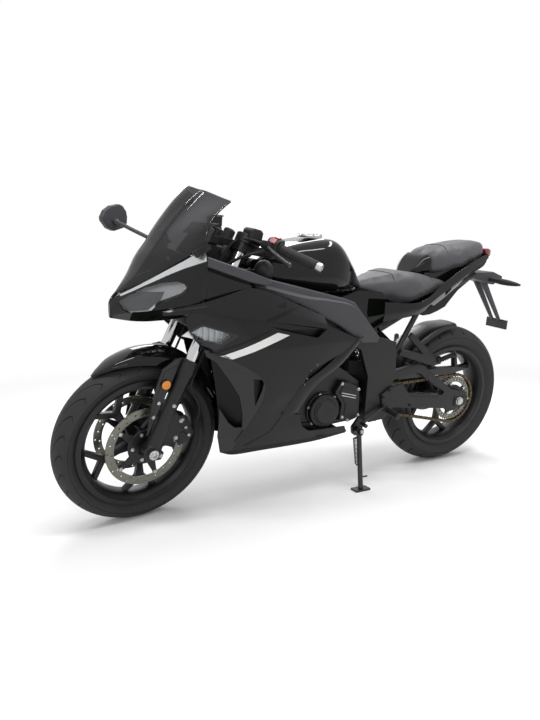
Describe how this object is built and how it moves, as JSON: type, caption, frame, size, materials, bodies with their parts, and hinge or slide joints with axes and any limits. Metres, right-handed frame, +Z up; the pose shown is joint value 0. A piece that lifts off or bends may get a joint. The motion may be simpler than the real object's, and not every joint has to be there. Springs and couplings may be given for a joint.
{
  "type": "full-faired sport motorcycle",
  "caption": "Full-faired road sport motorcycle parked on its side stand, with a smoked screen, stepped seats, cast wheels, chain drive and turned steering.",
  "frame": {"origin": "on the road, under the middle of the parked machine's bounding box", "axes": "+X forward along the machine, +Y to the rider's left, +Z up from the road"},
  "size_m": [1.9872, 0.7458, 1.1457],
  "materials": {
    "gloss_black": "gloss black paint",
    "black_rubber": "grip rubber",
    "satin_grey": "satin dark grey",
    "bare_steel": "plain steel",
    "black_alloy": "black coated alloy",
    "bare_alloy": "plain alloy",
    "amber_lens": "amber reflector",
    "clear_lens": "clear lens",
    "tyre_rubber": "dark rubber",
    "seat_vinyl": "matte charcoal vinyl",
    "black_steel": "black painted steel",
    "red_lens": "red lens",
    "smoked_screen": "smoked plastic"
  },
  "bodies": {
    "chassis": {"belly_pan": "gloss_black", "dash": "satin_grey", "drive_chain": "bare_steel", "engine_block": "black_alloy", "engine_covers": "black_alloy", "exhaust_pipes": "bare_steel", "fairing_left": "gloss_black", "fairing_right": "gloss_black", "footrests": "bare_alloy", "frame_covers": "satin_grey", "front_lamps": "clear_lens", "fuel_tank": "gloss_black", "main_frame": "black_alloy", "muffler": "bare_alloy", "nose_cowl": "gloss_black", "pillion_seat": "seat_vinyl", "plate_holder": "satin_grey", "radiator": "black_alloy", "rear_axle": "bare_steel", "rear_footrests": "bare_alloy", "rear_hugger": "satin_grey", "rear_indicators": "satin_grey", "rear_shock": "bare_steel", "rider_seat": "seat_vinyl", "right_mirror": "satin_grey", "subframe_rails": "black_alloy", "swingarm": "black_alloy", "tail_cowls": "gloss_black", "tail_light": "red_lens", "upper_wings": "gloss_black", "windscreen": "smoked_screen"},
    "front_end": {"fork_legs": "black_alloy", "yokes": "black_alloy", "handlebars": "black_rubber", "front_calipers": "black_alloy", "front_fender": "gloss_black", "fork_reflectors": "amber_lens", "front_axle": "bare_steel", "brake_hoses": "black_rubber"},
    "front_wheel": {"front_tyre": "tyre_rubber", "front_rim": "black_alloy", "front_discs": "bare_steel"},
    "rear_wheel": {"rear_tyre": "tyre_rubber", "rear_rim": "black_alloy", "rear_disc": "bare_steel", "rear_sprocket": "bare_steel"},
    "side_stand": {"side_stand": "black_steel"},
    "fuel_cap": {"fuel_cap": "bare_alloy"}
  },
  "joints": [
    {"name": "steering", "type": "hinge", "parent": "chassis", "child": "front_end", "pos_m": [0.48889, 0.00052, 0.65883], "axis": [-0.4214, 0.1261, 0.8981], "range_deg": [-35, 15]},
    {"name": "front_wheel_spin", "type": "hinge", "parent": "front_end", "child": "front_wheel", "pos_m": [0.70347, -0.04495, 0.28787], "axis": [-0.1577, 0.965, -0.2095], "continuous": true},
    {"name": "rear_wheel_spin", "type": "hinge", "parent": "chassis", "child": "rear_wheel", "pos_m": [-0.67597, -0.04848, 0.31174], "axis": [-0.0002, 0.9903, -0.1392], "continuous": true},
    {"name": "side_stand_fold", "type": "hinge", "parent": "chassis", "child": "side_stand", "pos_m": [-0.14109, 0.07503, 0.22699], "axis": [0.0129, 0.9874, 0.1578], "range_deg": [0, 95]},
    {"name": "fuel_cap_lid", "type": "hinge", "parent": "chassis", "child": "fuel_cap", "pos_m": [0.10597, 0.04689, 0.98928], "axis": [-0.0002, 0.9903, -0.1392], "range_deg": [0, 100]}
  ]
}
